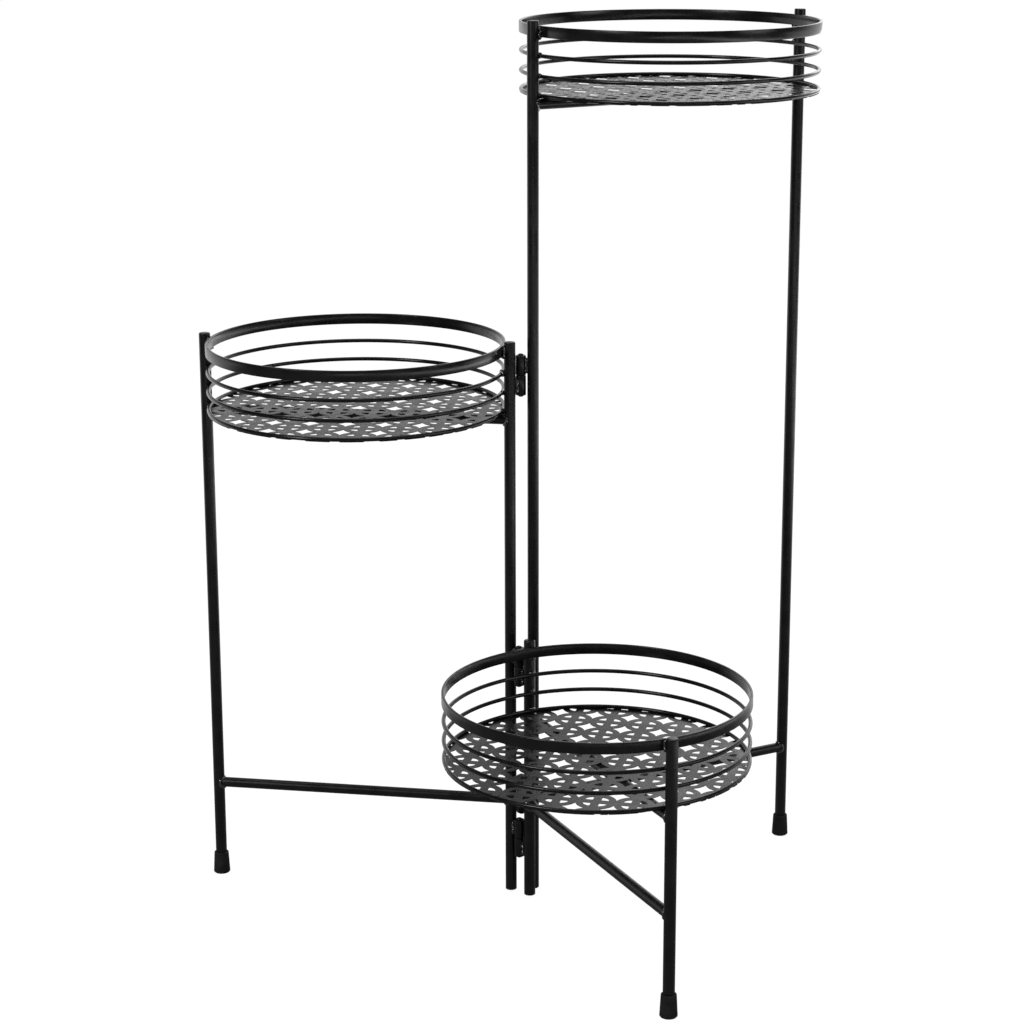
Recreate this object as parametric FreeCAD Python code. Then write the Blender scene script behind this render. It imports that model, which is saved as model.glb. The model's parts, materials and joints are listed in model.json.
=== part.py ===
import FreeCAD, Part
import math
import os

# Folding three-tier plant stand: three flat welded frames of round tube (tall, mid, low), each
# carrying a round wire basket, hinged side by side at their inner legs with weld-on barrel hinges.
# Millimetres and degrees. +Z is up, +X is right and +Y is away from the front. The origin is on the
# ground, at the centre of the stand's footprint box.

os.makedirs("parts", exist_ok=True)
V = FreeCAD.Vector
UP = V(0, 0, 1)

# ---------------------------------------------------------------- driving dimensions
# tubes and bars
LEG_OD = 10.0
LEG_WALL = 1.0
LEG_END = 1.6                # closed top end of a leg tube
BAR_D = 9.0
LOWER_BAR_HEIGHT = 88.0      # centre line above the ground
INNER_LEG_LIFT = 2.0         # the inner legs end this far above the ground

# baskets
BASKET_OD = 260.0
RIM_HEIGHT = 9.5
RIM_THICKNESS = 2.5
WIRE_D = 3.5
WIRE_DROPS = {"upper_wire": 25.0, "lower_wire": 42.0, "base_wire": 58.0}    # rim top to wire centre
RING_SIDES = 30              # rings, rim and floor edge are drawn as this many straight chords
WIRE_SIDES = 6               # and the round wire's section as this many flats

# pierced basket floor
FLOOR_THICKNESS = 1.0
FLOOR_SETBACK = 0.6          # floor edge inside the outside of the basket
STAR_PITCH = 31.4
STAR_TIP = 9.0               # star centre to each of its four tips
STAR_WAIST = 5.3             # star centre to the middle of each hollow side

# hinges
KNUCKLE_OD = 9.0
KNUCKLE_LENGTH = 17.3
KNUCKLE_GAP = 1.1            # weld gap between a knuckle and its own leg
KNUCKLE_PLAY = 0.3           # between the two knuckles of a barrel
PIN_D = 4.9
PIN_CLEARANCE = 0.05         # radial, pin in knuckle
PIN_PROUD = 1.5              # pin end beyond its knuckle
FOLDED_LEG_GAP = 2.4         # between two neighbouring legs when the stand is folded flat
BARREL_SIDES = 16            # knuckles and pins are drawn with this many flats

# rubber feet
FOOT_TOP_D = 13.0
FOOT_BOTTOM_D = 15.0
FOOT_HEIGHT = 20.0
FOOT_SOLE = 4.0
FOOT_EDGE = 1.5
FOOT_SIDES = 20              # flats round a foot

# weld beads
BEAD_LENGTH = 5.0            # along the ring
BEAD_REACH = 2.4             # in from the leg over the ring
BEAD_RISE = 3.2              # up or down the leg
HINGE_WELD_WIDTH = 3.4
HINGE_WELD_MARGIN = 2.0      # weld shorter than its knuckle by this much at each end

# each frame: rim height, its leg tops above the rim (inner, outer), turn of its star lattice and
# the star nearest the middle of its floor, as (right, back) from the middle
RIM_TOP = {"tall": 770.0, "mid": 501.0, "low": 236.0}
LEG_PROUD = {"tall": (4.5, 4.5), "mid": (3.0, 3.0), "low": (5.0, 2.0)}
LATTICE_TURN = {"tall": 22.5, "mid": -5.5, "low": -14.5}
FIRST_STAR = {"tall": (-6.7, -16.0), "mid": (1.5, 0.5), "low": (8.8, 10.0)}

# how the frames stand when the stand is open
MID_DIRECTION = 170.3        # from the inner leg to the outer leg of the mid frame
TALL_OPENING = 141.1         # from the mid frame round the back to the tall frame
LOW_OPENING = 123.9          # from the mid frame round the front to the low frame

# middle of each barrel: below the top of the shorter neighbour's leg, or above the ground
TALL_UPPER_HINGE_DROP = 30.0
TALL_LOWER_HINGE_HEIGHT = 91.0
LOW_UPPER_HINGE_DROP = 26.0
LOW_LOWER_HINGE_HEIGHT = 54.0

# ---------------------------------------------------------------- dependent sizes
LEG_R = LEG_OD / 2
BASKET_R = BASKET_OD / 2
LEG_SPACING = BASKET_OD + LEG_OD
WIRE_RING_R = BASKET_R - WIRE_D / 2
WIRE_HALF_HEIGHT = WIRE_D / 2 * math.cos(math.pi / WIRE_SIDES)
FLOOR_DROP = WIRE_DROPS["base_wire"] + WIRE_HALF_HEIGHT      # rim top to the floor's upper face
FLOOR_R = BASKET_R - FLOOR_SETBACK
TRAY_BAR_DROP = FLOOR_DROP + FLOOR_THICKNESS + BAR_D / 2
HINGE_ARM = LEG_R + KNUCKLE_GAP + KNUCKLE_OD / 2        # leg axis to barrel axis
HINGE_SET = math.degrees(math.asin((LEG_OD + FOLDED_LEG_GAP) / (2 * HINGE_ARM)))

solids = {}


# ---------------------------------------------------------------- helpers
def toward(angle, length):
    return V(length * math.cos(math.radians(angle)), length * math.sin(math.radians(angle)), 0)


def at_height(point, height):
    return V(point.x, point.y, height)


def faceted(rows, closed_ends):
    """Closed solid through rows of points; every row has as many points as the next."""
    faces = []
    count = len(rows[0])
    pairs = zip(rows, rows[1:]) if closed_ends else zip(rows, rows[1:] + rows[:1])
    for low_row, high_row in pairs:
        for i in range(count):
            k = (i + 1) % count
            corners = [low_row[i], low_row[k], high_row[k], high_row[i]]
            faces.append(Part.Face(Part.makePolygon(corners + corners[:1])))
    if closed_ends:
        for row in (rows[0], rows[-1]):
            faces.append(Part.Face(Part.makePolygon(row + row[:1])))
    solid = Part.Solid(Part.makeShell(faces))
    if solid.Volume < 0:
        solid.reverse()
    return solid


def flat_sided(levels, centre, sides, start_angle=0.0):
    """Upright solid with many flats through (corner radius, height) levels, from low to high."""
    rows = []
    for radius, height in levels:
        corners = [centre + toward(start_angle + 360.0 * i / sides, radius) for i in range(sides)]
        rows.append([at_height(corner, height) for corner in corners])
    return faceted(rows, closed_ends=True)


def around_circle(radius, sides):
    """Corner radius of a many-sided hole that just clears a round of this radius."""
    return radius / math.cos(math.pi / sides)


def leg_tube(foot, top):
    """Round tube, open at the bottom and closed by a welded end at the top."""
    outside = Part.makeCylinder(LEG_R, top - foot.z, foot)
    return outside.cut(Part.makeCylinder(LEG_R - LEG_WALL, top - LEG_END - foot.z, foot))


def cross_bar(inner, outer, height):
    """Round bar between the two legs, cut square and butted against both tubes."""
    run = outer - inner
    start = inner + run * (LEG_R / run.Length)
    return Part.makeCylinder(BAR_D / 2, run.Length - LEG_OD, at_height(start, height), run)


def ring(section, centre, start_angle):
    """Ring of straight chords from its (radius, height) section; a corner faces each leg."""
    rows = []
    for i in range(RING_SIDES):
        angle = start_angle + 360.0 * i / RING_SIDES
        rows.append([at_height(centre + toward(angle, radius), height) for radius, height in section])
    return faceted(rows, closed_ends=False)


def wire_section(height):
    points = []
    for j in range(WIRE_SIDES):
        around = 2 * math.pi * j / WIRE_SIDES
        points.append((WIRE_RING_R + WIRE_D / 2 * math.cos(around), height + WIRE_D / 2 * math.sin(around)))
    return points


def rim_section(top):
    inside = BASKET_R - RIM_THICKNESS
    return [(BASKET_R, top - RIM_HEIGHT), (BASKET_R, top), (inside, top), (inside, top - RIM_HEIGHT)]


def star(centre, turn, height):
    """Four-pointed star prism with hollow sides, tall enough to pierce the floor."""
    points = []
    for k in range(8):
        reach = STAR_TIP if k % 2 == 0 else STAR_WAIST
        points.append(at_height(centre + toward(turn + 45.0 * k, reach), height))
    return Part.Face(Part.makePolygon(points + points[:1])).extrude(UP * (3 * FLOOR_THICKNESS))


def pierced_floor(centre, top, turn, first_star, start_angle):
    """Round sheet with rows of stars; a star that the edge would cut is left out."""
    bottom = top - FLOOR_THICKNESS
    plate = flat_sided([(FLOOR_R, bottom), (FLOOR_R, top)], centre, RING_SIDES, start_angle)
    usable = FLOOR_R * math.cos(math.pi / RING_SIDES) - STAR_TIP
    rows = math.ceil(FLOOR_R / STAR_PITCH)
    stars = []
    for i in range(-rows, rows + 1):
        for j in range(-rows, rows + 1):
            place = first_star + toward(turn, STAR_PITCH * i) + toward(turn + 90, STAR_PITCH * j)
            if place.Length < usable:
                stars.append(star(centre + place, turn, bottom - FLOOR_THICKNESS))
    return plate.cut(Part.makeCompound(stars))


def rubber_foot(leg):
    """Tapered rubber foot with a blind socket for the end of the outer leg."""
    bottom_r = FOOT_BOTTOM_D / 2
    body = flat_sided([(bottom_r - FOOT_EDGE, 0), (bottom_r, FOOT_EDGE), (FOOT_TOP_D / 2, FOOT_HEIGHT)],
                      leg, FOOT_SIDES)
    socket_r = around_circle(LEG_R, FOOT_SIDES)
    return body.cut(flat_sided([(socket_r, FOOT_SOLE), (socket_r, FOOT_HEIGHT)], leg, FOOT_SIDES))


def knuckle(axis, low_end):
    bore_r = around_circle(PIN_D / 2 + PIN_CLEARANCE, BARREL_SIDES)
    ends = (low_end, low_end + KNUCKLE_LENGTH)
    body = flat_sided([(KNUCKLE_OD / 2, end) for end in ends], axis, BARREL_SIDES)
    return body.cut(flat_sided([(bore_r, end) for end in ends], axis, BARREL_SIDES))


def hinge_pin(axis, middle):
    """Pin through both knuckles, a little longer than the two together."""
    half = KNUCKLE_LENGTH + KNUCKLE_PLAY / 2 + PIN_PROUD
    return flat_sided([(PIN_D / 2, middle - half), (PIN_D / 2, middle + half)], axis, BARREL_SIDES)


def hinge_weld(leg, axis, low_end):
    """Weld that fills the gap between a knuckle and its own leg."""
    run = axis - leg
    side = V(-run.y, run.x, 0).normalize() * (HINGE_WELD_WIDTH / 2)
    height = KNUCKLE_LENGTH - 2 * HINGE_WELD_MARGIN
    base = low_end + HINGE_WELD_MARGIN
    corners = [at_height(p, base) for p in (leg + side, axis + side, axis - side, leg - side)]
    weld = Part.Face(Part.makePolygon(corners + corners[:1])).extrude(UP * height)
    weld = weld.cut(Part.makeCylinder(LEG_R, KNUCKLE_LENGTH, at_height(leg, low_end)))
    barrel = [(KNUCKLE_OD / 2, low_end), (KNUCKLE_OD / 2, low_end + KNUCKLE_LENGTH)]
    return weld.cut(flat_sided(barrel, axis, BARREL_SIDES))


def ring_bead(leg, angle, height, rise):
    """Weld wedge in the corner between a ring and a leg; rise is down where it is negative."""
    outward = toward(angle, 1)
    side = toward(angle + 90, BEAD_LENGTH / 2)
    contact = at_height(leg - outward * LEG_R, height) - side
    corners = [contact - outward * BEAD_REACH, contact + outward * LEG_R, contact + UP * rise]
    corners.insert(2, corners[1] + UP * rise)
    wedge = Part.Face(Part.makePolygon(corners + corners[:1])).extrude(side * 2)
    return wedge.cut(Part.makeCylinder(LEG_R, 2 * BEAD_RISE, at_height(leg, height - BEAD_RISE)))


# ---------------------------------------------------------------- plan of the open stand
# The mid frame's inner leg is the post that both other frames hang on. Each barrel stands off its
# legs towards the side on which its two frames fold together.
direction = {"mid": MID_DIRECTION,
             "tall": MID_DIRECTION - TALL_OPENING,
             "low": MID_DIRECTION + LOW_OPENING}
fold_side = {"tall": 1, "low": -1}

inner_leg = {"mid": V(0, 0, 0)}
barrel_axis = {}
for name, side in fold_side.items():
    barrel_axis[name] = toward(direction["mid"] + 180 + side * HINGE_SET, HINGE_ARM)
    back_to_barrel = toward(direction[name] + 180 - side * HINGE_SET, HINGE_ARM)
    inner_leg[name] = barrel_axis[name] - back_to_barrel

outer_leg = {name: inner_leg[name] + toward(direction[name], LEG_SPACING) for name in RIM_TOP}
basket_centre = {name: inner_leg[name] + toward(direction[name], LEG_SPACING / 2) for name in RIM_TOP}
inner_top = {name: RIM_TOP[name] + LEG_PROUD[name][0] for name in RIM_TOP}
outer_top = {name: RIM_TOP[name] + LEG_PROUD[name][1] for name in RIM_TOP}

# middle heights of the two barrels that carry each swinging frame
barrel_heights = {"tall": (inner_top["mid"] - TALL_UPPER_HINGE_DROP, TALL_LOWER_HINGE_HEIGHT),
                  "low": (inner_top["low"] - LOW_UPPER_HINGE_DROP, LOW_LOWER_HINGE_HEIGHT)}
# the tall frame has the upper knuckle of its barrels, the low frame the lower one
upper_knuckle_on = {"tall": "tall", "low": "mid"}

# ---------------------------------------------------------------- frames
for name in ("tall", "mid", "low"):
    centre = basket_centre[name]
    rim = RIM_TOP[name]
    inner = inner_leg[name]
    outer = outer_leg[name]

    solids[name + "_inner_leg"] = leg_tube(at_height(inner, INNER_LEG_LIFT), inner_top[name])
    solids[name + "_outer_leg"] = leg_tube(at_height(outer, FOOT_SOLE), outer_top[name])
    solids[name + "_rubber_foot"] = rubber_foot(outer)
    solids[name + "_lower_bar"] = cross_bar(inner, outer, LOWER_BAR_HEIGHT)
    solids[name + "_tray_bar"] = cross_bar(inner, outer, rim - TRAY_BAR_DROP)

    solids[name + "_rim_band"] = ring(rim_section(rim), centre, direction[name])
    for wire, drop in WIRE_DROPS.items():
        solids[name + "_" + wire] = ring(wire_section(rim - drop), centre, direction[name])
    solids[name + "_basket_floor"] = pierced_floor(centre, rim - FLOOR_DROP, LATTICE_TURN[name],
                                                   V(*FIRST_STAR[name], 0), direction[name])

# ---------------------------------------------------------------- hinges
knuckles = {"tall": [], "mid": [], "low": []}
hinge_welds = {"tall": [], "mid": [], "low": []}
pins = []
for name in ("tall", "low"):
    for middle in barrel_heights[name]:
        upper_end = middle + KNUCKLE_PLAY / 2
        lower_end = middle - KNUCKLE_PLAY / 2 - KNUCKLE_LENGTH
        upper_frame = upper_knuckle_on[name]
        lower_frame = "mid" if upper_frame == name else name
        for frame, low_end in ((upper_frame, upper_end), (lower_frame, lower_end)):
            knuckles[frame].append(knuckle(barrel_axis[name], low_end))
            hinge_welds[frame].append(hinge_weld(inner_leg[frame], barrel_axis[name], low_end))
        pins.append(hinge_pin(barrel_axis[name], middle))
solids["mid_hinge_pins"] = Part.makeCompound(pins)

# ---------------------------------------------------------------- welds
for name in ("tall", "mid", "low"):
    solids[name + "_hinge_knuckles"] = Part.makeCompound(knuckles[name])
    beads = []
    for leg, angle in ((inner_leg[name], direction[name] + 180), (outer_leg[name], direction[name])):
        beads.append(ring_bead(leg, angle, RIM_TOP[name] - RIM_HEIGHT, -BEAD_RISE))
        for wire in ("upper_wire", "lower_wire"):
            wire_top = RIM_TOP[name] - WIRE_DROPS[wire] + WIRE_HALF_HEIGHT
            beads.append(ring_bead(leg, angle, wire_top, BEAD_RISE))
    solids[name + "_welds"] = Part.makeCompound(beads + hinge_welds[name])

# ---------------------------------------------------------------- place and write
box = Part.makeCompound(list(solids.values())).optimalBoundingBox(False, False)
shift = V(-(box.XMin + box.XMax) / 2, -(box.YMin + box.YMax) / 2, 0)
for node, shape in solids.items():
    placed = shape.copy()
    placed.translate(shift)
    placed.exportStep("parts/" + node + ".step")

for name in ("tall", "mid", "low"):
    for label, point in (("inner leg", inner_leg[name]), ("outer leg", outer_leg[name]),
                         ("basket centre", basket_centre[name])):
        print(name, label, round((point + shift).x, 3), round((point + shift).y, 3))
for name, axis in barrel_axis.items():
    print(name, "barrel axis", round((axis + shift).x, 4), round((axis + shift).y, 4))
print("floor drop", round(FLOOR_DROP, 3), "box", [round(v, 2) for v in (box.XLength, box.YLength, box.ZLength)])
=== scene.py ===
import bmesh
import bpy
import json
import math
from mathutils import Matrix, Vector, noise


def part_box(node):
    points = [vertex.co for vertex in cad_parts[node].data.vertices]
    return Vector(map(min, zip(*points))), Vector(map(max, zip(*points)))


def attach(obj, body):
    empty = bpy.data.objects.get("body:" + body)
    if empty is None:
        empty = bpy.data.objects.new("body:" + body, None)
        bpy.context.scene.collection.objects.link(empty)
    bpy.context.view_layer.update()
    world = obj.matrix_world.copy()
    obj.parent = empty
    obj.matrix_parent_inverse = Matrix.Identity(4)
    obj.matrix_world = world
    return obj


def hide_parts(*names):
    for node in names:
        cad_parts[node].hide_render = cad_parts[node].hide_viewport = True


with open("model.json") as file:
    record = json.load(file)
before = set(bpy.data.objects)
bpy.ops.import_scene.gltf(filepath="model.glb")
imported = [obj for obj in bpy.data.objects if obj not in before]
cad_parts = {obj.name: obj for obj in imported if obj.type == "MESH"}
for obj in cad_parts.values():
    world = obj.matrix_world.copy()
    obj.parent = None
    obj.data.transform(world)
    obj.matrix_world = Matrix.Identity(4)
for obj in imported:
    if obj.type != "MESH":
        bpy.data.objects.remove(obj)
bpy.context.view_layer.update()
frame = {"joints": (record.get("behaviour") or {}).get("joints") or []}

# ------------------------------------------------------------------ camera
# The photograph is taken from about waist height, looking a little down on the stand from two
# metres away with a short telephoto lens. The place and the lens come from fitting the three
# basket rims and the six legs.
CAMERA_PLACE = Vector((0.0075, -2.1754, 0.9382))
CAMERA_PITCH_DOWN = math.radians(14.825)
CAMERA_TURNED_LEFT = math.radians(0.071)
CAMERA_ROLL = math.radians(-0.160)
SENSOR_WIDTH_MM = 36.0
LENS_MM = 92.40

lens = bpy.data.cameras.new("studio_camera")
lens.sensor_fit = "HORIZONTAL"
lens.sensor_width = SENSOR_WIDTH_MM
lens.lens = LENS_MM
lens.clip_start = 0.05
lens.clip_end = 200.0
camera = bpy.data.objects.new("studio_camera", lens)
camera.location = CAMERA_PLACE
camera.rotation_euler = (Matrix.Rotation(CAMERA_TURNED_LEFT, 3, "Z")
                         @ Matrix.Rotation(math.pi / 2 - CAMERA_PITCH_DOWN, 3, "X")
                         @ Matrix.Rotation(CAMERA_ROLL, 3, "Z")).to_euler()
bpy.context.scene.collection.objects.link(camera)
bpy.context.scene.camera = camera
bpy.context.scene.view_settings.view_transform = "Standard"

# ------------------------------------------------------------------ studio
# A plain white sweep behind and under the stand, with soft boxes at both sides, above and behind.
# Gloss alone finds a dim room in front, and two bright stretches of floor that stand for a lit wall
# far in front and a lit panel at the right, set to the sheen in the photograph.
FLOOR_RADIUS = 30.0
FLOOR_OWN_WHITE = 0.95
FLOOR_LIT_WHITE = 0.10
ROOM_LIGHT = 0.50
ROOM_IN_FRONT = 0.10         # how white the dim room in front looks in the gloss
FAR_WALL_IN_FRONT = 2.4      # the bright floor far in front, where 1 is white
PANEL_AT_RIGHT = 3.2         # and the bright floor at the right
SWEEP_TOP = 0.22             # how much of its white the sweep keeps high up
SWEEP_BEHIND = (0.15, 0.80)  # direction along Y over which the gloss finds the sweep
SWEEP_RISE = (0.25, 0.43)    # direction along Z over which the sweep loses its white
FLOOR_BEHIND = (0.0, 1.0)    # where along Y the floor in the gloss turns white
FAR_WALL_Y = (-3.4, -7.5)
FAR_WALL_X = ((-3.4, -1.6), (1.8, 3.6))
PANEL_X = ((1.2, 1.7), (2.2, 2.8))
AREA_LIGHTS = {              # place, width and power
    "key_softbox": ((-2.4, -2.2, 2.3), 1.0, 44.0),
    "fill_softbox": ((2.9, -1.2, 1.7), 1.6, 14.0),
    "top_softbox": ((0.1, 0.3, 3.4), 2.4, 36.0),
    "rear_softbox": ((1.2, 3.0, 2.0), 2.2, 20.0),
}
AIM_POINT = Vector((0.0, 0.0, 0.35))


def ray_kinds(nodes, links):
    """Sockets that are one for rays from the camera, and for rays off gloss or through glass."""
    path = nodes.new("ShaderNodeLightPath")
    shiny = nodes.new("ShaderNodeMath")
    shiny.operation = "MAXIMUM"
    links.new(path.outputs["Is Glossy Ray"], shiny.inputs[0])
    links.new(path.outputs["Is Transmission Ray"], shiny.inputs[1])
    return path.outputs["Is Camera Ray"], shiny.outputs[0]


def remap(nodes, links, socket, low, high, to_low=0.0, to_high=1.0):
    node = nodes.new("ShaderNodeMapRange")
    node.interpolation_type = "SMOOTHSTEP"
    node.inputs["From Min"].default_value = low
    node.inputs["From Max"].default_value = high
    for name, value in (("To Min", to_low), ("To Max", to_high)):
        if isinstance(value, float):
            node.inputs[name].default_value = value
        else:
            links.new(value, node.inputs[name])
    links.new(socket, node.inputs["Value"])
    return node.outputs["Result"]


def combined(nodes, links, operation, first, second):
    node = nodes.new("ShaderNodeMath")
    node.operation = operation
    for socket, value in ((node.inputs[0], first), (node.inputs[1], second)):
        if isinstance(value, float):
            socket.default_value = value
        else:
            links.new(value, socket)
    return node.outputs[0]


def axis_part(nodes, links, coordinates, axis_name):
    split = nodes.new("ShaderNodeSeparateXYZ")
    links.new(coordinates, split.inputs[0])
    return split.outputs[axis_name]


def patch(nodes, links, socket, rise, fall, brightness):
    """Soft-edged band of brightness along one axis: up over the first range, down over the second."""
    up = remap(nodes, links, socket, rise[0], rise[1], 0.0, brightness)
    down = remap(nodes, links, socket, fall[0], fall[1], 1.0, 0.0)
    return combined(nodes, links, "MULTIPLY", up, down)


def white_as_seen(nodes, links, shiny_level, camera_level, soft_level):
    """Strength of the white: full for the camera, by direction for gloss, soft for everything else."""
    camera_ray, shiny_ray = ray_kinds(nodes, links)
    for_gloss = nodes.new("ShaderNodeMix")
    for_gloss.inputs[2].default_value = soft_level
    links.new(shiny_ray, for_gloss.inputs[0])
    links.new(shiny_level, for_gloss.inputs[3])
    for_camera = nodes.new("ShaderNodeMix")
    for_camera.inputs[3].default_value = camera_level
    links.new(camera_ray, for_camera.inputs[0])
    links.new(for_gloss.outputs[0], for_camera.inputs[2])
    return for_camera.outputs[0]


world = bpy.data.worlds.new("white_studio")
bpy.context.scene.world = world
world.use_nodes = True
nodes, links = world.node_tree.nodes, world.node_tree.links
nodes.clear()
sweep_white = nodes.new("ShaderNodeBackground")
sweep_white.inputs["Color"].default_value = (1.0, 1.0, 1.0, 1.0)
sky = nodes.new("ShaderNodeTexCoord").outputs["Generated"]
behind = remap(nodes, links, axis_part(nodes, links, sky, "Y"), *SWEEP_BEHIND, ROOM_IN_FRONT, 1.0)
up_the_sweep = remap(nodes, links, axis_part(nodes, links, sky, "Z"), *SWEEP_RISE, 1.0, SWEEP_TOP)
gloss_level = combined(nodes, links, "MULTIPLY", behind, up_the_sweep)
links.new(white_as_seen(nodes, links, gloss_level, 1.0, ROOM_LIGHT), sweep_white.inputs["Strength"])
world_output = nodes.new("ShaderNodeOutputWorld")
links.new(sweep_white.outputs[0], world_output.inputs["Surface"])

sweep = bmesh.new()
bmesh.ops.create_circle(sweep, cap_ends=True, radius=FLOOR_RADIUS, segments=96)
floor_mesh = bpy.data.meshes.new("studio_floor")
sweep.to_mesh(floor_mesh)
sweep.free()
studio_floor = bpy.data.objects.new("studio_floor", floor_mesh)
bpy.context.scene.collection.objects.link(studio_floor)
floor_white = bpy.data.materials.new("studio_white")
floor_white.use_nodes = True
nodes, links = floor_white.node_tree.nodes, floor_white.node_tree.links
nodes.clear()
lit_part = nodes.new("ShaderNodeBsdfDiffuse")
lit_part.inputs["Color"].default_value = (FLOOR_LIT_WHITE, FLOOR_LIT_WHITE, FLOOR_LIT_WHITE, 1.0)
own_part = nodes.new("ShaderNodeEmission")
own_part.inputs["Color"].default_value = (1.0, 1.0, 1.0, 1.0)
floor_place = nodes.new("ShaderNodeTexCoord").outputs["Object"]
floor_x, floor_y = axis_part(nodes, links, floor_place, "X"), axis_part(nodes, links, floor_place, "Y")
wall_level = remap(nodes, links, floor_y, *FAR_WALL_Y, 0.0, FAR_WALL_IN_FRONT)
far_wall = combined(nodes, links, "MULTIPLY", wall_level, patch(nodes, links, floor_x, *FAR_WALL_X, 1.0))
right_panel = patch(nodes, links, floor_x, *PANEL_X, PANEL_AT_RIGHT)
gloss_level = remap(nodes, links, floor_y, *FLOOR_BEHIND, ROOM_IN_FRONT, 1.0)
for bright_part in (far_wall, right_panel):
    gloss_level = combined(nodes, links, "MAXIMUM", gloss_level, bright_part)
links.new(white_as_seen(nodes, links, gloss_level, FLOOR_OWN_WHITE, 0.0), own_part.inputs["Strength"])
floor_sum = nodes.new("ShaderNodeAddShader")
floor_output = nodes.new("ShaderNodeOutputMaterial")
links.new(lit_part.outputs[0], floor_sum.inputs[0])
links.new(own_part.outputs[0], floor_sum.inputs[1])
links.new(floor_sum.outputs[0], floor_output.inputs["Surface"])
floor_mesh.materials.append(floor_white)

for lamp_name, (place, size, power) in AREA_LIGHTS.items():
    lamp = bpy.data.lights.new(lamp_name, "AREA")
    lamp.shape = "DISK"
    lamp.size = size
    lamp.energy = power
    lamp_object = bpy.data.objects.new(lamp_name, lamp)
    lamp_object.location = place
    lamp_object.rotation_euler = (AIM_POINT - Vector(place)).to_track_quat("-Z", "Y").to_euler()
    bpy.context.scene.collection.objects.link(lamp_object)

# ------------------------------------------------------------------ leg tubes
# Six legs of round steel tube, 10 mm across, cut to length and closed with a plate welded on and
# ground flush at the top. The inner legs stay open at the bottom, a little above the ground, with
# the cut edge rounded over. All of it is powder coated satin black once the frame is welded.
FRAMES = ("tall", "mid", "low")
LEG_OD = 0.010
LEG_WALL = 0.001
LEG_TOP_ROUND = 0.0011
LEG_CUT_ROUND = 0.0004
LEG_FLATS = 56
LEG_TOP_PLATE = 0.0016
COAT_BLACK = (0.0042, 0.0042, 0.0043, 1.0)
COAT_LIFTED = (0.0078, 0.0078, 0.0080, 1.0)
COAT_DUST = (0.060, 0.060, 0.058, 1.0)
COAT_SPECULAR = 0.35
GRAINS_PER_METRE = 260.0
GRAIN_HEIGHT = 0.8
SPECKS_PER_METRE = 900.0


def group_socket(group, name, direction, kind, value=None):
    socket = group.interface.new_socket(name=name, in_out=direction, socket_type=kind)
    if value is not None:
        socket.default_value = value


# powder coat: the fine orange peel of the baked powder, broad cloudy differences in its gloss
# where it flowed more or less, and the pinhead grains that stay in it
coat_skin = bpy.data.node_groups.new("powder_coat_skin", "ShaderNodeTree")
group_socket(coat_skin, "Peel Size", "INPUT", "NodeSocketFloat", 0.0012)
group_socket(coat_skin, "Cloud Size", "INPUT", "NodeSocketFloat", 0.02)
group_socket(coat_skin, "Dark", "INPUT", "NodeSocketColor", COAT_BLACK)
group_socket(coat_skin, "Light", "INPUT", "NodeSocketColor", COAT_LIFTED)
group_socket(coat_skin, "Rough Low", "INPUT", "NodeSocketFloat", 0.36)
group_socket(coat_skin, "Rough High", "INPUT", "NodeSocketFloat", 0.48)
group_socket(coat_skin, "Color", "OUTPUT", "NodeSocketColor")
group_socket(coat_skin, "Roughness", "OUTPUT", "NodeSocketFloat")
group_socket(coat_skin, "Height", "OUTPUT", "NodeSocketFloat")
nodes, links = coat_skin.nodes, coat_skin.links
skin_in = nodes.new("NodeGroupInput")
skin_out = nodes.new("NodeGroupOutput")
place = nodes.new("ShaderNodeTexCoord")


def one_over(nodes, links, socket):
    node = nodes.new("ShaderNodeMath")
    node.operation = "DIVIDE"
    node.inputs[0].default_value = 1.0
    links.new(socket, node.inputs[1])
    return node.outputs[0]


def noise_at(nodes, links, coordinates, scale, detail, roughness=0.5):
    node = nodes.new("ShaderNodeTexNoise")
    node.inputs["Detail"].default_value = detail
    node.inputs["Roughness"].default_value = roughness
    links.new(coordinates, node.inputs["Vector"])
    if isinstance(scale, float):
        node.inputs["Scale"].default_value = scale
    else:
        links.new(scale, node.inputs["Scale"])
    return node.outputs["Fac"]


def mixed(nodes, links, factor, first, second):
    node = nodes.new("ShaderNodeMix")
    node.data_type = "RGBA"
    for socket, value in ((node.inputs[0], factor), (node.inputs[6], first), (node.inputs[7], second)):
        if isinstance(value, (float, tuple)):
            socket.default_value = value
        else:
            links.new(value, socket)
    return node.outputs[2]


object_place = place.outputs["Object"]
peel = noise_at(nodes, links, object_place, one_over(nodes, links, skin_in.outputs["Peel Size"]), 3.0)
cloud = noise_at(nodes, links, object_place, one_over(nodes, links, skin_in.outputs["Cloud Size"]), 4.0, 0.6)
grain_cells = nodes.new("ShaderNodeTexVoronoi")
grain_cells.feature = "F1"
links.new(object_place, grain_cells.inputs["Vector"])
grain_cells.inputs["Scale"].default_value = GRAINS_PER_METRE
grain = remap(nodes, links, grain_cells.outputs["Distance"], 0.10, 0.04)
cloud_mask = remap(nodes, links, cloud, 0.35, 0.65)
links.new(mixed(nodes, links, cloud_mask, skin_in.outputs["Dark"], skin_in.outputs["Light"]),
          skin_out.inputs["Color"])
links.new(remap(nodes, links, cloud, 0.30, 0.70, skin_in.outputs["Rough Low"], skin_in.outputs["Rough High"]),
          skin_out.inputs["Roughness"])
links.new(combined(nodes, links, "ADD", peel, combined(nodes, links, "MULTIPLY", grain, GRAIN_HEIGHT)),
          skin_out.inputs["Height"])

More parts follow.
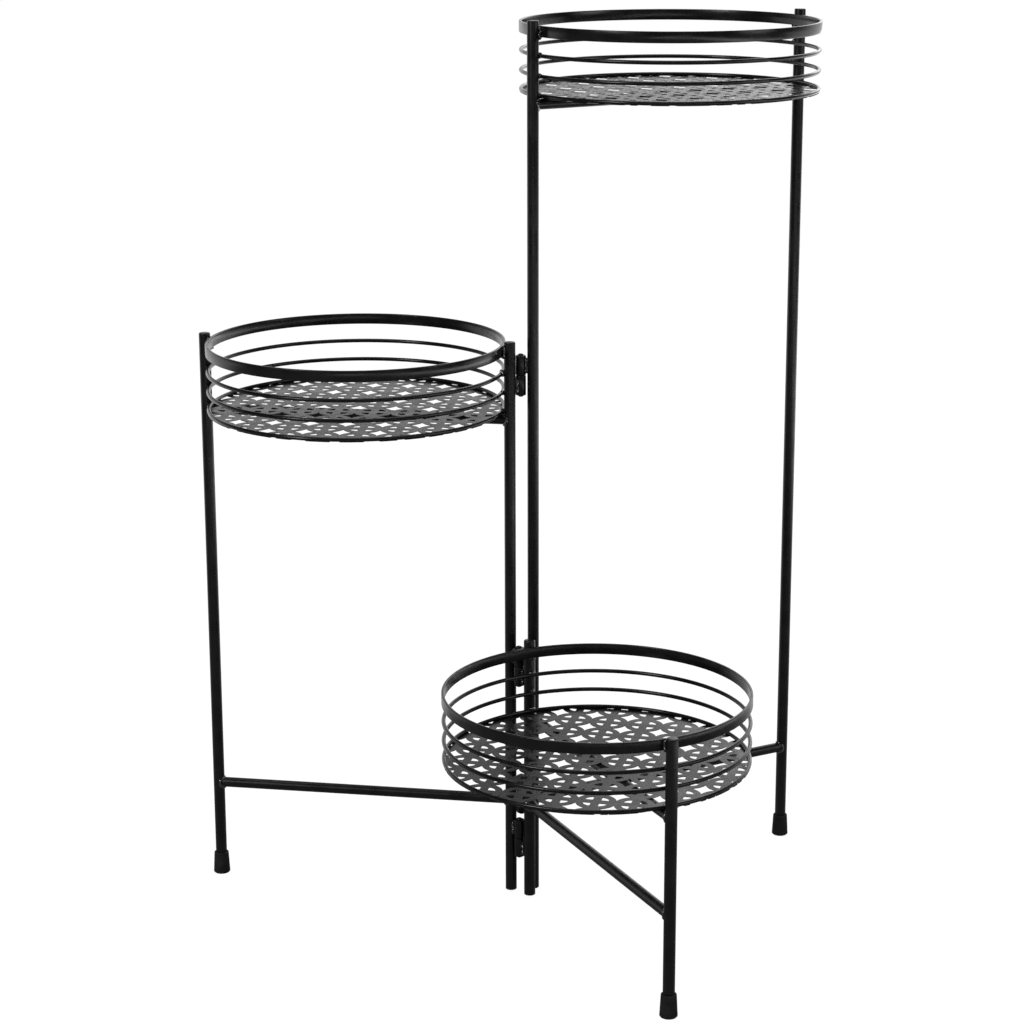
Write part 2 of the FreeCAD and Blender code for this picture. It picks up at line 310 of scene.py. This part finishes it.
# settled dust: a pale film on faces that look up, in soft patches
dust_film = bpy.data.node_groups.new("settled_dust", "ShaderNodeTree")
group_socket(dust_film, "Amount", "INPUT", "NodeSocketFloat", 0.2)
group_socket(dust_film, "Patch Size", "INPUT", "NodeSocketFloat", 0.03)
group_socket(dust_film, "Mask", "OUTPUT", "NodeSocketFloat")
nodes, links = dust_film.nodes, dust_film.links
dust_in = nodes.new("NodeGroupInput")
dust_out = nodes.new("NodeGroupOutput")
dust_place = nodes.new("ShaderNodeTexCoord")
facing = nodes.new("ShaderNodeNewGeometry")
facing_split = nodes.new("ShaderNodeSeparateXYZ")
links.new(facing.outputs["Normal"], facing_split.inputs[0])
upward = remap(nodes, links, facing_split.outputs["Z"], 0.35, 0.95)
patches = noise_at(nodes, links, dust_place.outputs["Object"],
                   one_over(nodes, links, dust_in.outputs["Patch Size"]), 5.0, 0.65)
specks = noise_at(nodes, links, dust_place.outputs["Object"], SPECKS_PER_METRE, 2.0)
patch_mask = remap(nodes, links, patches, 0.35, 0.70)
speck_mask = remap(nodes, links, specks, 0.45, 0.70)
dusty = combined(nodes, links, "MULTIPLY", patch_mask, speck_mask)
dusty = combined(nodes, links, "MULTIPLY", dusty, upward)
links.new(combined(nodes, links, "MULTIPLY", dusty, dust_in.outputs["Amount"]), dust_out.inputs["Mask"])


def powder_coat(name, peel_size, cloud_size, rough, dust, bump, depth=0.00008):
    """Satin black powder coat with its own grain, gloss, dust and depth of orange peel."""
    material = bpy.data.materials.new(name)
    material.use_nodes = True
    nodes, links = material.node_tree.nodes, material.node_tree.links
    shader = nodes["Principled BSDF"]
    shader.inputs["Specular IOR Level"].default_value = COAT_SPECULAR
    skin = nodes.new("ShaderNodeGroup")
    skin.node_tree = coat_skin
    skin.inputs["Peel Size"].default_value = peel_size
    skin.inputs["Cloud Size"].default_value = cloud_size
    skin.inputs["Rough Low"].default_value, skin.inputs["Rough High"].default_value = rough
    film = nodes.new("ShaderNodeGroup")
    film.node_tree = dust_film
    film.inputs["Amount"].default_value = dust
    links.new(mixed(nodes, links, film.outputs["Mask"], skin.outputs["Color"], COAT_DUST),
              shader.inputs["Base Color"])
    links.new(skin.outputs["Roughness"], shader.inputs["Roughness"])
    relief = nodes.new("ShaderNodeBump")
    relief.inputs["Strength"].default_value = bump
    relief.inputs["Distance"].default_value = depth
    links.new(skin.outputs["Height"], relief.inputs["Height"])
    links.new(relief.outputs["Normal"], shader.inputs["Normal"])
    return material


def finished_piece(name, form, material, body, smooth_angle=35.0):
    """Turns a bmesh into a named piece at the origin that rides on a body."""
    mesh = bpy.data.meshes.new(name)
    form.to_mesh(mesh)
    form.free()
    for polygon in mesh.polygons:
        polygon.use_smooth = True
    mesh.set_sharp_from_angle(angle=math.radians(smooth_angle))
    mesh.materials.append(material)
    piece = bpy.data.objects.new(name, mesh)
    bpy.context.scene.collection.objects.link(piece)
    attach(piece, body)
    return piece


def turned(form, profile, steps, closed=False):
    """Adds a turned shape round the Z axis, from (radius, height) points, with its poles closed."""
    corners = [form.verts.new((radius, 0.0, height)) for radius, height in profile]
    pairs = list(zip(corners, corners[1:]))
    if closed:
        pairs.append((corners[-1], corners[0]))
    edges = [form.edges.new(pair) for pair in pairs]
    bmesh.ops.spin(form, geom=corners + edges, cent=(0, 0, 0), axis=(0, 0, 1),
                   angle=2 * math.pi, steps=steps, use_merge=True)
    bmesh.ops.remove_doubles(form, verts=form.verts, dist=1e-6)
    bmesh.ops.recalc_face_normals(form, faces=form.faces)


def rounded_rims(form, height, radius_range, size, segments=3):
    """Rounds the round edges at one height whose radius lies within the range."""
    edges = []
    for edge in form.edges:
        ends = [(abs(v.co.z - height), math.hypot(v.co.x, v.co.y)) for v in edge.verts]
        if all(off < 1e-5 and radius_range[0] < radius < radius_range[1] for off, radius in ends):
            edges.append(edge)
    bmesh.ops.bevel(form, geom=edges, offset=size, offset_type="OFFSET", affect="EDGES",
                    segments=segments, profile=0.5, material=-1)


def axis_of(node):
    """Place on the ground, lowest and highest level of an upright node."""
    low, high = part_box(node)
    return Vector(((low.x + high.x) / 2, (low.y + high.y) / 2, 0.0)), low.z, high.z


def level_of(node):
    low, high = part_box(node)
    return (low.z + high.z) / 2


def legs_of(name):
    """Places of a frame's inner and outer leg on the ground."""
    return axis_of(name + "_inner_leg")[0], axis_of(name + "_outer_leg")[0]


leg_paint = powder_coat("leg_powder_coat", peel_size=0.0011, cloud_size=0.018,
                        rough=(0.24, 0.36), dust=0.20, bump=0.4)
for name in FRAMES:
    for side in ("inner", "outer"):
        node = f"{name}_{side}_leg"
        axis, bottom, top = axis_of(node)
        outside, inside = LEG_OD / 2, LEG_OD / 2 - LEG_WALL
        leg = bmesh.new()
        turned(leg, [(0.0, top), (outside, top), (outside, bottom), (inside, bottom),
                     (inside, top - LEG_TOP_PLATE), (0.0, top - LEG_TOP_PLATE)], LEG_FLATS)
        rounded_rims(leg, top, (outside - 1e-4, outside + 1e-4), LEG_TOP_ROUND)
        rounded_rims(leg, bottom, (inside - 1e-4, outside + 1e-4), LEG_CUT_ROUND)
        bmesh.ops.translate(leg, verts=leg.verts, vec=axis)
        piece = finished_piece(f"{name}_{side}_leg_tube", leg, leg_paint, name + "_frame")
        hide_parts(node)

# ------------------------------------------------------------------ cross bars
# Two round bars join the legs of each frame: one low down that keeps the legs apart, and one right
# under the basket's floor that carries it. Each is cut square, and a weld fillet runs round its end.
BAR_OD = 0.009
BAR_FLATS = 48
FILLET_SIZE = 0.0013
FILLET_OUT = 0.2             # how far the fillet's middle lies outside the bar, in fillet sizes
FILLET_LUMPS = (0.0004, 0.0024)  # height and size of the lumps
FINE_LUMPS = 0.35            # height of the finer lumps on a weld, as a share of the broad ones
FINER = 2.6                  # and how many times finer they are


def straight_between(form, start, end):
    """Turns a shape that stands on the origin so that it runs from start to end."""
    turn = (end - start).to_track_quat("Z", "Y").to_matrix().to_4x4()
    bmesh.ops.transform(form, matrix=Matrix.Translation(start) @ turn, verts=form.verts)


def lumpy(form, amount, size, seed):
    """Moves the points of a weld in and out a little, as hand-laid beads are."""
    shift = Vector((seed * 3.1, seed * 1.7, seed * 0.9))
    form.normal_update()
    for vert in form.verts:
        spot = vert.co / size + shift
        fine = FINE_LUMPS * noise.noise(spot * FINER)
        vert.co += vert.normal * amount * (noise.noise(spot) + fine)


def laid_on(form, bead):
    """Adds a finished bead to the welds of a frame."""
    holder = bpy.data.meshes.new("bead")
    bead.to_mesh(holder)
    bead.free()
    form.from_mesh(holder)
    bpy.data.meshes.remove(holder)


def round_ring(section_r, flats, ring_r, level, steps):
    """Ring of round section about the Z axis."""
    ring = bmesh.new()
    bmesh.ops.create_circle(ring, cap_ends=False, radius=section_r, segments=flats,
                            matrix=Matrix.Rotation(math.pi / 2, 4, "X"))
    bmesh.ops.translate(ring, verts=ring.verts, vec=(ring_r, 0, level))
    bmesh.ops.spin(ring, geom=list(ring.verts) + list(ring.edges), cent=(0, 0, 0), axis=(0, 0, 1),
                   angle=2 * math.pi, steps=steps, use_merge=True)
    bmesh.ops.remove_doubles(ring, verts=ring.verts, dist=1e-6)
    bmesh.ops.recalc_face_normals(ring, faces=ring.faces)
    return ring


def saddle_fillet(bar_r, tube_r, size):
    """Ring of weld round a bar's end, bent to the round of the tube that the bar butts against."""
    ring = round_ring(size, 12, bar_r + FILLET_OUT * size, 0, 56)
    for vert in ring.verts:
        across = min(abs(vert.co.x), bar_r)
        vert.co.z += math.sqrt(tube_r ** 2 - across ** 2)
    return ring


weld_paint = powder_coat("weld_powder_coat", peel_size=0.0016, cloud_size=0.006, rough=(0.05, 0.14),
                         dust=0.10, bump=0.9, depth=0.0003)
for socket_name, value in (("Specular IOR Level", 0.5), ("Coat Weight", 0.8), ("Coat IOR", 1.9),
                           ("Coat Roughness", 0.05)):
    weld_paint.node_tree.nodes["Principled BSDF"].inputs[socket_name].default_value = value
for index, name in enumerate(FRAMES):
    inner, outer = legs_of(name)
    for bar_kind in ("lower_bar", "tray_bar"):
        node = f"{name}_{bar_kind}"
        level = Vector((0.0, 0.0, level_of(node)))
        start, end = inner + level, outer + level
        bar = bmesh.new()
        near_end = LEG_OD / 2 - LEG_WALL
        far_end = (end - start).length - LEG_OD / 2 + LEG_WALL
        turned(bar, [(0.0, near_end), (BAR_OD / 2, near_end), (BAR_OD / 2, far_end), (0.0, far_end)],
               BAR_FLATS)
        straight_between(bar, start, end)
        piece = finished_piece(f"{name}_{bar_kind}_round", bar, leg_paint, name + "_frame")
        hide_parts(node)
        fillets = bmesh.new()
        for seed, (near, far) in enumerate(((start, end), (end, start))):
            fillet = saddle_fillet(BAR_OD / 2, LEG_OD / 2, FILLET_SIZE)
            straight_between(fillet, near, far)
            lumpy(fillet, *FILLET_LUMPS, 10 * index + seed)
            laid_on(fillets, fillet)
        finished_piece(f"{name}_{bar_kind}_fillets", fillets, weld_paint, name + "_frame", 80.0)

# ------------------------------------------------------------------ basket rims
# The top of each basket is a flat steel strip bent on edge to a ring, butt welded and dressed, with
# its corners rounded by the rolling. The frame's rings are straight chords, so a round ring is set
# in a little to stay inside the frame's box, and the weld beads bridge that gap to the legs.
RING_INSET = 0.00055
RIM_STEPS = 160
RIM_STRIP = 0.0025
RIM_EDGE_ROUND = 0.0006
rim_paint = powder_coat("rim_powder_coat", peel_size=0.0011, cloud_size=0.022,
                        rough=(0.17, 0.28), dust=0.20, bump=0.4)


def basket_of(name):
    """Middle and outside radius of a frame's basket, which is set in from both legs."""
    inner, outer = legs_of(name)
    return (inner + outer) / 2, (outer - inner).length / 2 - LEG_OD / 2 - RING_INSET


for name in FRAMES:
    node = name + "_rim_band"
    _, bottom, top = axis_of(node)
    centre, basket_r = basket_of(name)
    rim = bmesh.new()
    inside = basket_r - RIM_STRIP
    turned(rim, [(inside, bottom), (basket_r, bottom), (basket_r, top), (inside, top)],
           RIM_STEPS, closed=True)
    bmesh.ops.bevel(rim, geom=[e for e in rim.edges if abs(e.verts[0].co.z - e.verts[1].co.z) < 1e-6
                               and abs(e.verts[0].co.xy.length - e.verts[1].co.xy.length) < 1e-6],
                    offset=RIM_EDGE_ROUND, offset_type="OFFSET", affect="EDGES", segments=2,
                    profile=0.5, material=-1)
    bmesh.ops.translate(rim, verts=rim.verts, vec=centre)
    piece = finished_piece(f"{name}_rim_strip", rim, rim_paint, name + "_frame", 60.0)
    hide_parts(node)

# ------------------------------------------------------------------ basket wires
# Three rings of round wire hang under each rim, each bent and butt welded; the lowest carries the
# floor. They stand between both legs and are welded there.
WIRE_D = 0.0035
WIRE_FLATS = 16
WIRE_STEPS = 144
wire_paint = powder_coat("wire_powder_coat", peel_size=0.0009, cloud_size=0.015,
                         rough=(0.16, 0.27), dust=0.20, bump=0.35)
for name in FRAMES:
    centre, basket_r = basket_of(name)
    for wire_kind in ("upper_wire", "lower_wire", "base_wire"):
        node = f"{name}_{wire_kind}"
        wire = round_ring(WIRE_D / 2, WIRE_FLATS, basket_r - WIRE_D / 2, level_of(node), WIRE_STEPS)
        bmesh.ops.translate(wire, verts=wire.verts, vec=centre)
        piece = finished_piece(f"{name}_{wire_kind}_ring", wire, wire_paint, name + "_frame",
                               60.0)
        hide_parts(node)

# ------------------------------------------------------------------ basket floors
# Each floor is a disc cut from ready-pierced thin sheet: rows of four-pointed stars with hollow
# sides, and a quarter-round piercing in each corner between them. The disc is cut straight
# through the pattern, so its edge is ragged, and it is welded under the base wire.
SHEET = 0.0005
PITCH = 0.0314
STAR_TIP = 0.0101
STAR_WAIST = 0.0055
STRIP_HALF = 0.0034
QUARTER_R = 0.0064
ARC_STEPS = 5
LATTICE_TURN = {"tall": math.radians(22.5), "mid": math.radians(-5.5), "low": math.radians(-14.5)}
FIRST_STAR = {"tall": (-0.0067, -0.0160), "mid": (0.0015, 0.0005), "low": (0.0088, 0.0100)}
FLOOR_SETBACK = 0.0006
FLOOR_STEPS = 160
QUARTERS = ((-1, -1), (-1, 1), (1, -1), (1, 1))
floor_paint = powder_coat("floor_powder_coat", peel_size=0.0012, cloud_size=0.012,
                          rough=(0.22, 0.33), dust=0.30, bump=0.40)


def arc_points(start, end, bulge, steps):
    """Points from start to end, both included, on an arc that bows sideways by bulge."""
    chord = end - start
    middle = (start + end) / 2
    side = Vector((-chord.y, chord.x)).normalized()
    radius = (chord.length ** 2 / 4 + bulge ** 2) / (2 * abs(bulge))
    hub = middle + side * (bulge - math.copysign(radius, bulge))
    first = start - hub
    sweep_angle = first.angle_signed(end - hub)
    points = []
    for step in range(steps + 1):
        turn = -sweep_angle * step / steps
        points.append(hub + Matrix.Rotation(turn, 2) @ first)
    return points


def thickened(form, faces, height):
    """Extrudes plane faces upwards."""
    lifted = bmesh.ops.extrude_face_region(form, geom=faces)
    top = [item for item in lifted["geom"] if isinstance(item, bmesh.types.BMVert)]
    bmesh.ops.translate(form, verts=top, vec=(0, 0, height))


def prism(form, outline, bottom, height):
    """Adds an upright prism over a plane outline, for cutting."""
    corners = [form.verts.new((point.x, point.y, bottom)) for point in outline]
    thickened(form, [form.faces.new(corners)], height)


def star_outline():
    """Star of four tips on the lattice axes; each side is an arc that bows towards the middle."""
    angles = (0.0, math.pi / 2, math.pi, 3 * math.pi / 2)
    tips = [Vector((STAR_TIP * math.cos(angle), STAR_TIP * math.sin(angle))) for angle in angles]
    bow = STAR_TIP / math.sqrt(2) - STAR_WAIST
    points = []
    for tip, following in zip(tips, tips[1:] + tips[:1]):
        points.extend(arc_points(tip, following, bow, ARC_STEPS)[:-1])
    return points


def quarter_outline(across, up):
    """Quarter-round piercing whose square corner points away from the star."""
    corner = Vector((across, up)) * (PITCH / 2 - STRIP_HALF)
    start = corner - Vector((across * QUARTER_R, 0.0))
    end = corner - Vector((0.0, up * QUARTER_R))
    bow = QUARTER_R * (1 - math.sqrt(0.5))
    if across * up > 0:
        bow = -bow
    return [corner] + arc_points(start, end, bow, ARC_STEPS)


for name in FRAMES:
    node = name + "_basket_floor"
    _, _, floor_top = axis_of(node)
    centre, basket_r = basket_of(name)
    sheet_r = basket_r - FLOOR_SETBACK
    sheet = bmesh.new()
    bmesh.ops.create_circle(sheet, cap_ends=True, radius=sheet_r, segments=FLOOR_STEPS)
    thickened(sheet, list(sheet.faces), SHEET)
    bmesh.ops.recalc_face_normals(sheet, faces=sheet.faces)
    cutter = bmesh.new()
    rows = math.ceil(sheet_r / PITCH) + 1
    turn = Matrix.Rotation(LATTICE_TURN[name], 2)
    outlines = [star_outline()] + [quarter_outline(across, up) for across, up in QUARTERS]
    for i in range(-rows, rows + 1):
        for j in range(-rows, rows + 1):
            for outline in outlines:
                points = [Vector(FIRST_STAR[name]) + turn @ (Vector((i, j)) * PITCH + point)
                          for point in outline]
                if min(point.length for point in points) < sheet_r:
                    prism(cutter, points, -SHEET, 3 * SHEET)
    bmesh.ops.recalc_face_normals(cutter, faces=cutter.faces)
    for form in (sheet, cutter):
        bmesh.ops.translate(form, verts=form.verts, vec=centre + Vector((0, 0, floor_top - SHEET)))
    cutter_mesh = bpy.data.meshes.new(name + "_piercings")
    cutter.to_mesh(cutter_mesh)
    cutter.free()
    cutter_object = bpy.data.objects.new(name + "_piercings", cutter_mesh)
    bpy.context.scene.collection.objects.link(cutter_object)
    piece = finished_piece(f"{name}_pierced_floor", sheet, floor_paint, name + "_frame", 30.0)
    cut = piece.modifiers.new("piercings", "BOOLEAN")
    cut.operation = "DIFFERENCE"
    cut.solver = "EXACT"
    cut.object = cutter_object
    bpy.context.view_layer.update()
    pierced = bpy.data.meshes.new_from_object(piece.evaluated_get(bpy.context.evaluated_depsgraph_get()))
    piece.modifiers.clear()
    piece.data = pierced
    bpy.data.objects.remove(cutter_object)
    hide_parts(node)

# ------------------------------------------------------------------ hinge barrels
# Four weld-on barrel hinges join the frames at their inner legs: two between mid and tall, two
# between mid and low. Each has two turned knuckles with chamfered ends, one on either leg, and a
# pin through both whose ends are peened over.
KNUCKLE_OD = 0.009
KNUCKLE_LENGTH = 0.0173
KNUCKLE_PLAY = 0.0003
KNUCKLE_CHAMFER = 0.0007
PIN_OD = 0.0049
PIN_BORE = 0.0050
PIN_PROUD = 0.0015
PEENED_END = ((0.0, 0.0), (0.55, 0.0001), (0.9, 0.0005), (1.0, 0.0011))  # share of radius, depth
UPPER_BARREL_DROP = {"tall": 0.030, "low": 0.026}  # below the top of the shorter of the two legs
LOWER_BARREL_AT = {"tall": 0.091, "low": 0.054}
BARREL_FLATS = 40
barrel_paint = powder_coat("barrel_powder_coat", peel_size=0.0010, cloud_size=0.008,
                           rough=(0.20, 0.34), dust=0.15, bump=0.5)
swings = {joint["name"]: Vector((joint["pos_m"][0], joint["pos_m"][1], 0.0)) for joint in frame["joints"]}
barrel_line = {"tall": swings["tall_swing"], "low": swings["low_swing"]}
shorter_leg_top = {"tall": axis_of("mid_inner_leg")[2], "low": axis_of("low_inner_leg")[2]}
upper_knuckle_on = {"tall": "tall", "low": "mid"}
knuckles = {name: bmesh.new() for name in FRAMES}
knuckle_places = {name: [] for name in FRAMES}
pins = bmesh.new()
for name, line in barrel_line.items():
    for middle in (shorter_leg_top[name] - UPPER_BARREL_DROP[name], LOWER_BARREL_AT[name]):
        upper_low_end = middle + KNUCKLE_PLAY / 2
        lower_low_end = middle - KNUCKLE_PLAY / 2 - KNUCKLE_LENGTH
        upper_frame = upper_knuckle_on[name]
        lower_frame = "mid" if upper_frame == name else name
        for owner, low_end in ((upper_frame, upper_low_end), (lower_frame, lower_low_end)):
            knuckle = bmesh.new()
            outside, inside, high_end = KNUCKLE_OD / 2, PIN_BORE / 2, low_end + KNUCKLE_LENGTH
            turned(knuckle, [(inside, low_end), (outside, low_end), (outside, high_end), (inside, high_end)],
                   BARREL_FLATS, closed=True)
            for end in (low_end, high_end):
                rounded_rims(knuckle, end, (outside - 1e-4, outside + 1e-4), KNUCKLE_CHAMFER, 2)
            bmesh.ops.translate(knuckle, verts=knuckle.verts, vec=line)
            laid_on(knuckles[owner], knuckle)
            knuckle_places[owner].append((line, low_end))
        pin = bmesh.new()
        half, pin_r = KNUCKLE_LENGTH + KNUCKLE_PLAY / 2 + PIN_PROUD, PIN_OD / 2
        lower_end = [(share * pin_r, middle - half + depth) for share, depth in PEENED_END]
        upper_end = [(share * pin_r, middle + half - depth) for share, depth in reversed(PEENED_END)]
        turned(pin, lower_end + upper_end, BARREL_FLATS)
        bmesh.ops.translate(pin, verts=pin.verts, vec=line)
        laid_on(pins, pin)
for name in FRAMES:
    piece = finished_piece(f"{name}_turned_knuckles", knuckles[name], barrel_paint, name + "_frame")
    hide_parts(name + "_hinge_knuckles")
piece = finished_piece("peened_hinge_pins", pins, barrel_paint, "mid_frame", 50.0)
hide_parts("mid_hinge_pins")

# ------------------------------------------------------------------ welds
# The baskets are tacked to the legs with hand-laid blobs, and a run of weld fills each side of the
# gap between a knuckle and its leg. The beads are rounder and glossier than the tube, because the
# powder flows out over them.
BEAD_LUMPS = (0.0010, 0.0026)  # height and size of the lumps
RUN_ROWS_APART = 0.0004
RUN_FLATS = 16
RUN_RIPPLE = 0.0017          # length of a ripple
RUN_RIPPLE_SHARE = 0.09      # its height as a share of the radius
HINGE_RUN_R = 0.0019
HINGE_RUN_ASIDE = 0.0021
HINGE_RUN_MARGIN = 0.0018
RIM_RUN_R = 0.0017
RIM_RUN_AWAY = 0.0006
RIM_RUN_ASIDE = 0.0041
RIM_RUN_BELOW = 0.0012       # how far the run reaches below the rim, and stays below its top
RIM_RUN_SHORT = 0.0006
RIM_TACK_SIZE = (0.0032, 0.0018, 0.0020)
RIM_TACK_INSIDE = 0.0008
RIM_TACK_BELOW = 0.0004
TACK_INSIDE = 0.0012
TACK_ABOVE = 0.0006
TACK_SIZE = {"upper_wire": (0.0034, 0.0022, 0.0026), "lower_wire": (0.0030, 0.0021, 0.0022),
             "base_wire": (0.0030, 0.0021, 0.0020)}
BALL_TACK = (0.0036, 0.0026, 0.0034)


def weld_run(start, end, radius, seed):
    """Hand-laid run from start to end: a rippled rod with round ends."""
    length = (end - start).length
    rows = max(10, round(length / RUN_ROWS_APART))
    profile = []
    for row in range(rows + 1):
        along = row / rows
        swell = (1 - abs(2 * along - 1) ** 5) ** 0.5
        ripple = 1 + RUN_RIPPLE_SHARE * math.cos(2 * math.pi * along * length / RUN_RIPPLE)
        profile.append((radius * swell * ripple, along * length))
    run = bmesh.new()
    turned(run, profile, RUN_FLATS)
    straight_between(run, start, end)
    lumpy(run, *BEAD_LUMPS, seed)
    return run


def upright(height):
    return Vector((0, 0, height))


def tack(place, ring_line, size, seed):
    """Blob of weld, longest along the ring."""
    blob = bmesh.new()
    bmesh.ops.create_icosphere(blob, subdivisions=4, radius=1.0)
    across = upright(1).cross(ring_line).normalized()
    axes = Matrix((ring_line.normalized() * size[0], across * size[1], upright(1) * size[2])).transposed()
    bmesh.ops.transform(blob, matrix=Matrix.Translation(place) @ axes.to_4x4(), verts=blob.verts)
    lumpy(blob, *BEAD_LUMPS, seed)
    return blob


for index, name in enumerate(FRAMES):
    inner, outer = legs_of(name)
    outward = (outer - inner).normalized()
    sideways = Vector((-outward.y, outward.x, 0.0))
    beads = bmesh.new()
    seed = 40 * index
    for leg, away in ((inner, -outward), (outer, outward)):
        contact = leg - away * (LEG_OD / 2)
        _, rim_bottom, rim_top = axis_of(name + "_rim_band")
        for hand in (-1, 1):
            seed += 1
            groove = contact + away * RIM_RUN_AWAY + sideways * (hand * RIM_RUN_ASIDE)
            laid_on(beads, weld_run(groove + upright(rim_bottom - RIM_RUN_BELOW),
                                    groove + upright(rim_top - RIM_RUN_SHORT), RIM_RUN_R, seed))
        seed += 1
        under_rim = contact - away * RIM_TACK_INSIDE + upright(rim_bottom - RIM_TACK_BELOW)
        laid_on(beads, tack(under_rim, sideways, RIM_TACK_SIZE, seed))
        for wire_kind, size in TACK_SIZE.items():
            seed += 1
            level = upright(level_of(f"{name}_{wire_kind}") + TACK_ABOVE)
            if name == "mid" and wire_kind == "upper_wire" and leg is inner:
                size = BALL_TACK
            laid_on(beads, tack(contact - away * TACK_INSIDE + level, sideways, size, seed))
    for line, low_end in knuckle_places[name]:
        gap = line - inner
        reach = gap.normalized()
        hand_side = Vector((-reach.y, reach.x, 0.0))
        middle_of_gap = inner + reach * (LEG_OD / 2 + (gap.length - LEG_OD / 2 - KNUCKLE_OD / 2) / 2)
        for hand in (-1, 1):
            seed += 1
            groove = middle_of_gap + hand_side * (hand * HINGE_RUN_ASIDE)
            laid_on(beads, weld_run(groove + upright(low_end + HINGE_RUN_MARGIN),
                                    groove + upright(low_end + KNUCKLE_LENGTH - HINGE_RUN_MARGIN),
                                    HINGE_RUN_R, seed))
    piece = finished_piece(f"{name}_weld_beads", beads, weld_paint, name + "_frame", 80.0)
    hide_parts(name + "_welds")

# ------------------------------------------------------------------ rubber feet
# A tapered cap of soft black rubber is pushed on each outer leg. It is moulded in one piece, matt,
# with a rounded sole.
FOOT_SOLE_R = 0.0066
FOOT_WIDEST_R = 0.0075
FOOT_WIDEST_AT = 0.0012
FOOT_TOP_R = 0.0065
FOOT_SOLE = 0.004
FOOT_GRIP = 0.0001           # how much narrower the cap's bore is than the leg, to each side
FOOT_RIM_RANGE = (0.006, 0.007)
FOOT_TOP_ROUND = 0.0007
FOOT_SOLE_ROUND = 0.0005
FOOT_FLATS = 48
rubber = bpy.data.materials.new("foot_rubber")
rubber.use_nodes = True
nodes, links = rubber.node_tree.nodes, rubber.node_tree.links
shader = nodes["Principled BSDF"]
shader.inputs["Specular IOR Level"].default_value = 0.2
rubber_skin = nodes.new("ShaderNodeGroup")
rubber_skin.node_tree = coat_skin
rubber_skin.inputs["Peel Size"].default_value = 0.0007
rubber_skin.inputs["Cloud Size"].default_value = 0.009
rubber_skin.inputs["Dark"].default_value = (0.011, 0.011, 0.011, 1.0)
rubber_skin.inputs["Light"].default_value = (0.020, 0.020, 0.020, 1.0)
rubber_skin.inputs["Rough Low"].default_value = 0.62
rubber_skin.inputs["Rough High"].default_value = 0.80
links.new(rubber_skin.outputs["Color"], shader.inputs["Base Color"])
links.new(rubber_skin.outputs["Roughness"], shader.inputs["Roughness"])
relief = nodes.new("ShaderNodeBump")
relief.inputs["Strength"].default_value = 0.6
relief.inputs["Distance"].default_value = 0.00008
links.new(rubber_skin.outputs["Height"], relief.inputs["Height"])
links.new(relief.outputs["Normal"], shader.inputs["Normal"])
for name in FRAMES:
    node = name + "_rubber_foot"
    axis, bottom, top = axis_of(node)
    bore_r = LEG_OD / 2 - FOOT_GRIP
    foot = bmesh.new()
    turned(foot, [(0.0, bottom), (FOOT_SOLE_R, bottom), (FOOT_WIDEST_R, bottom + FOOT_WIDEST_AT),
                  (FOOT_TOP_R, top), (bore_r, top), (bore_r, bottom + FOOT_SOLE), (0.0, bottom + FOOT_SOLE)],
           FOOT_FLATS)
    rounded_rims(foot, top, FOOT_RIM_RANGE, FOOT_TOP_ROUND)
    rounded_rims(foot, bottom, FOOT_RIM_RANGE, FOOT_SOLE_ROUND)
    bmesh.ops.translate(foot, verts=foot.verts, vec=axis)
    piece = finished_piece(f"{name}_foot_cap", foot, rubber, name + "_frame")
    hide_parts(node)
